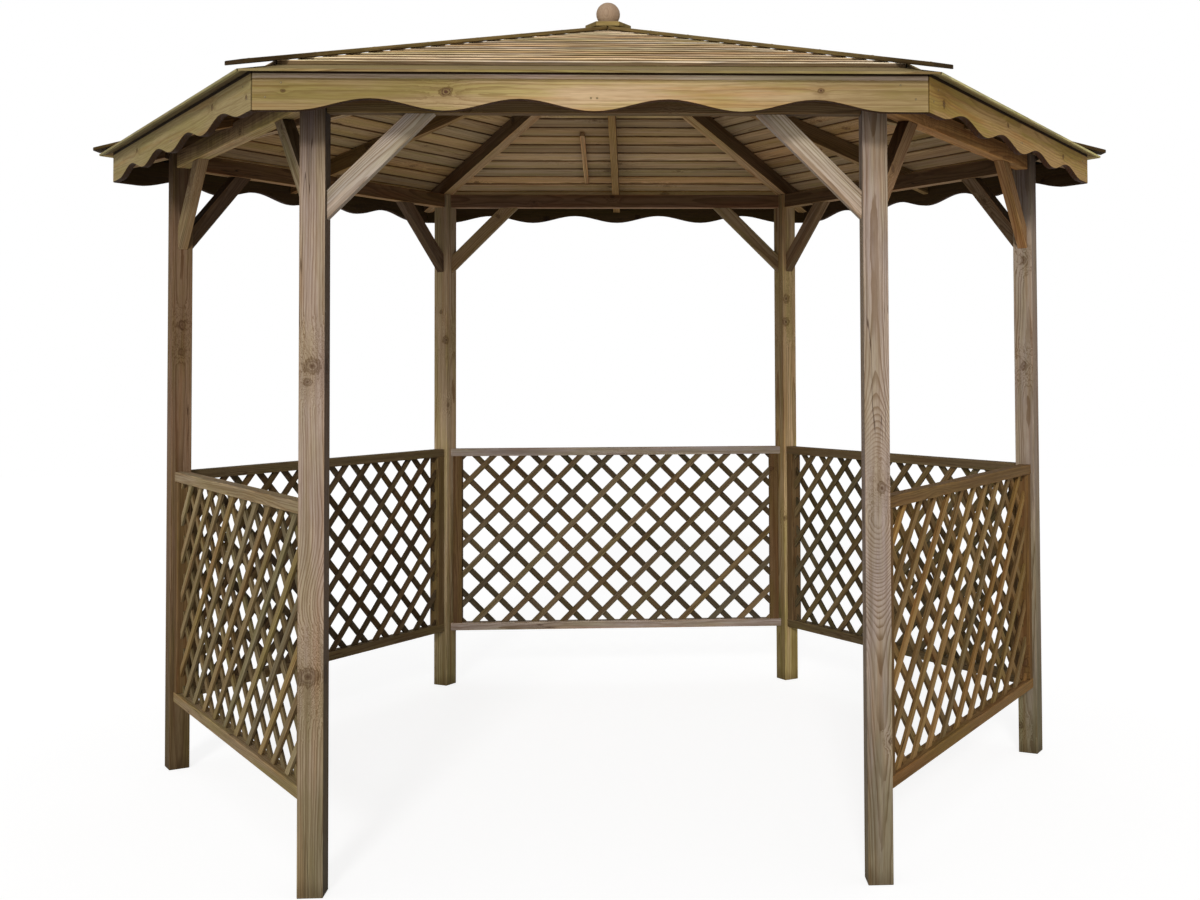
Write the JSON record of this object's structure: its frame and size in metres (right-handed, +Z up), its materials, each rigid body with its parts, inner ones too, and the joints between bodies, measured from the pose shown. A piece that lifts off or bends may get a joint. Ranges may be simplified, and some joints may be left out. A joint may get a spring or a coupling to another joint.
{
  "type": "hexagonal timber garden pavilion",
  "caption": "Hexagonal open timber pavilion with square posts, knee braces, diagonal trellis panels, scalloped fascia boards, a low lapped-board hip roof and a ball finial",
  "frame": {"origin": "on the ground under the finial, at the middle of the six posts", "axes": "+Z up, the open entrance side faces -Y, +X to the right seen from the entrance"},
  "size_m": [3.5856, 3.1376, 2.6832],
  "materials": {
    "post_wood": "weathered pressure-treated pine, greyed brown with brown knots",
    "frame_wood": "darker treated pine, matt",
    "trellis_wood": "treated pine laths, green-brown, matt",
    "fascia_wood": "treated pine board, olive yellow with knots, matt",
    "roof_wood": "treated pine boards, olive brown, weathered, matt",
    "cap_wood": "treated pine strip, weathered, matt",
    "ball_wood": "turned pine, pale and bare, satin"
  },
  "bodies": {
    "root": {"post_front_left": "post_wood", "post_front_right": "post_wood", "post_right": "post_wood", "post_back_right": "post_wood", "post_back_left": "post_wood", "post_left": "post_wood", "beam_front": "frame_wood", "beam_front_right": "frame_wood", "beam_back_right": "frame_wood", "beam_back": "frame_wood", "beam_back_left": "frame_wood", "beam_front_left": "frame_wood", "braces_front": "post_wood", "braces_front_right": "post_wood", "braces_back_right": "post_wood", "braces_back": "post_wood", "braces_back_left": "post_wood", "braces_front_left": "post_wood", "trellis_front_right": "trellis_wood", "trellis_back_right": "trellis_wood", "trellis_back": "trellis_wood", "trellis_back_left": "trellis_wood", "trellis_front_left": "trellis_wood", "fascia_front": "fascia_wood", "fascia_front_right": "fascia_wood", "fascia_back_right": "fascia_wood", "fascia_back": "fascia_wood", "fascia_back_left": "fascia_wood", "fascia_front_left": "fascia_wood", "roof_front": "roof_wood", "roof_front_right": "roof_wood", "roof_back_right": "roof_wood", "roof_back": "roof_wood", "roof_back_left": "roof_wood", "roof_front_left": "roof_wood", "hip_rafters": "frame_wood", "middle_rafters": "frame_wood", "splice_batten": "frame_wood", "hip_caps": "cap_wood", "peak_block": "frame_wood", "peak_plate": "cap_wood", "finial_ball": "ball_wood"}
  },
  "joints": []
}
